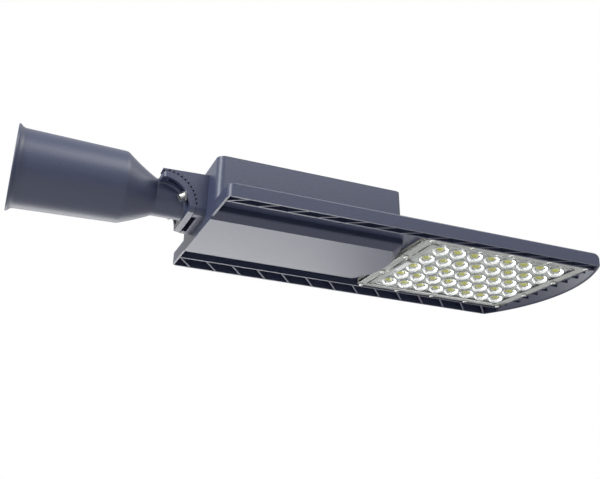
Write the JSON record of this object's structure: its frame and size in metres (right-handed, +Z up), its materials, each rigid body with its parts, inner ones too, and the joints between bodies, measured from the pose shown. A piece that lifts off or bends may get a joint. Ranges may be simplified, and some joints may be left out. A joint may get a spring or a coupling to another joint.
{
  "type": "led street light head",
  "caption": "Flat cast street light head with a grid of clear lenses, a driver box on top and a toothed tilting pole sleeve.",
  "frame": {"origin": "centre of the pole sleeve's mouth", "axes": "+X along the pole's axis from the sleeve's mouth towards the lamp's nose, +Z up, +Y to the left when looking along +X"},
  "size_m": [0.6036, 0.21, 0.0814],
  "materials": {
    "cast_paint": "satin powder coat on die-cast aluminium",
    "zinc_steel": "bright zinc",
    "stainless": "stainless steel",
    "clear_lens": "clear polycarbonate",
    "seal_rubber": "silicone",
    "grey_seal": "grey silicone",
    "thermal_pad": "soft filled silicone",
    "white_board": "white solder mask on an aluminium board",
    "phosphor": "yellow phosphor under clear resin",
    "driver_case": "bare extruded aluminium, potted",
    "galvanised": "galvanised sheet",
    "white_plastic": "white polyamide",
    "black_plastic": "black polyamide"
  },
  "bodies": {
    "sleeve": {"pole_sleeve": "cast_paint", "sleeve_set_screws": "zinc_steel"},
    "head": {"housing": "cast_paint", "tilt_screws": "stainless", "tilt_washers": "stainless", "cable_grommet": "seal_rubber", "compartment_lid": "cast_paint", "lid_gasket": "seal_rubber", "lid_screws": "stainless", "lens_plate": "clear_lens", "lens_gasket": "grey_seal", "lens_screws": "stainless", "thermal_pad": "thermal_pad", "led_board": "white_board", "led_packages": "phosphor", "board_screws": "stainless", "board_connector": "white_plastic", "gear_tray": "galvanised", "tray_screws": "zinc_steel", "earth_screw": "zinc_steel", "led_driver": "driver_case", "driver_screws": "zinc_steel", "surge_protector": "black_plastic", "terminal_block": "white_plastic", "cable_clamp": "black_plastic", "clamp_screws": "zinc_steel", "duct_grommet": "seal_rubber", "breather_vent": "black_plastic"}
  },
  "joints": [
    {"name": "tilt", "type": "hinge", "parent": "sleeve", "child": "head", "pos_m": [0.1342, 0, -0.021], "axis": [0, -1, 0], "range_deg": [-15, 20]}
  ]
}
